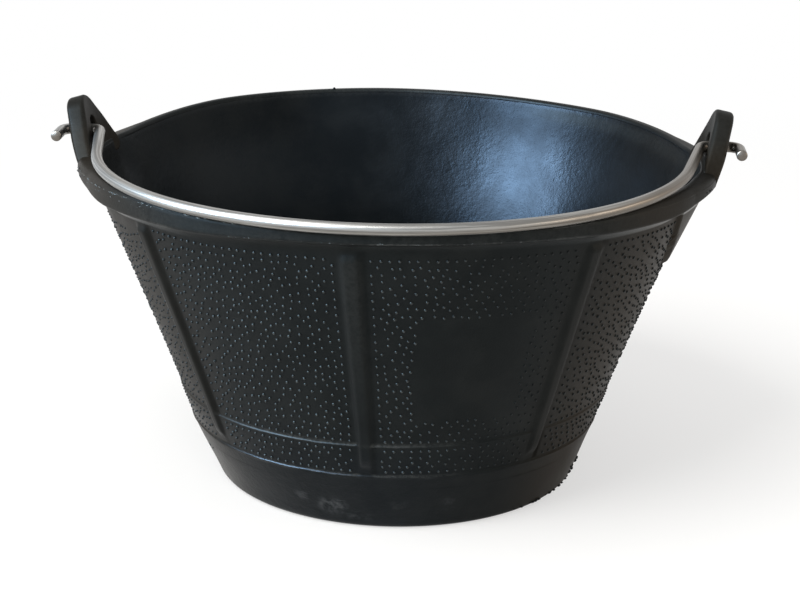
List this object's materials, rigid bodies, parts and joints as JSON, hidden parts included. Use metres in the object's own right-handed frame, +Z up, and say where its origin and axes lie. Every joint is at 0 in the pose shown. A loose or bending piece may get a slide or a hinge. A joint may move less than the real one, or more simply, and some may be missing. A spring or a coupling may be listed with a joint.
{
  "type": "builders bucket",
  "caption": "Round tapered rubber bucket with a rolled rim, ribbed and pimpled wall, and a bent wire bail that swings in holes through moulded ears.",
  "frame": {"origin": "centre of the tub's flat underside, on the surface that the bucket stands on", "axes": "+Z up along the tub's axis, +X along the bail's pivot line towards one ear, -Y to the side where the bail lies folded down"},
  "size_m": [0.393, 0.3606, 0.216],
  "materials": {
    "black_rubber": "satin moulded rubber, a little scuffed",
    "galvanised_wire": "bright galvanised drawn wire"
  },
  "bodies": {
    "tub": {"rubber_tub": "black_rubber"},
    "bail": {"wire_bail": "galvanised_wire"}
  },
  "joints": [
    {"name": "bail_swing", "type": "hinge", "parent": "tub", "child": "bail", "pos_m": [0, 0, 0.1963], "axis": [-1, 0, 0], "range_deg": [0, 183.9]}
  ]
}
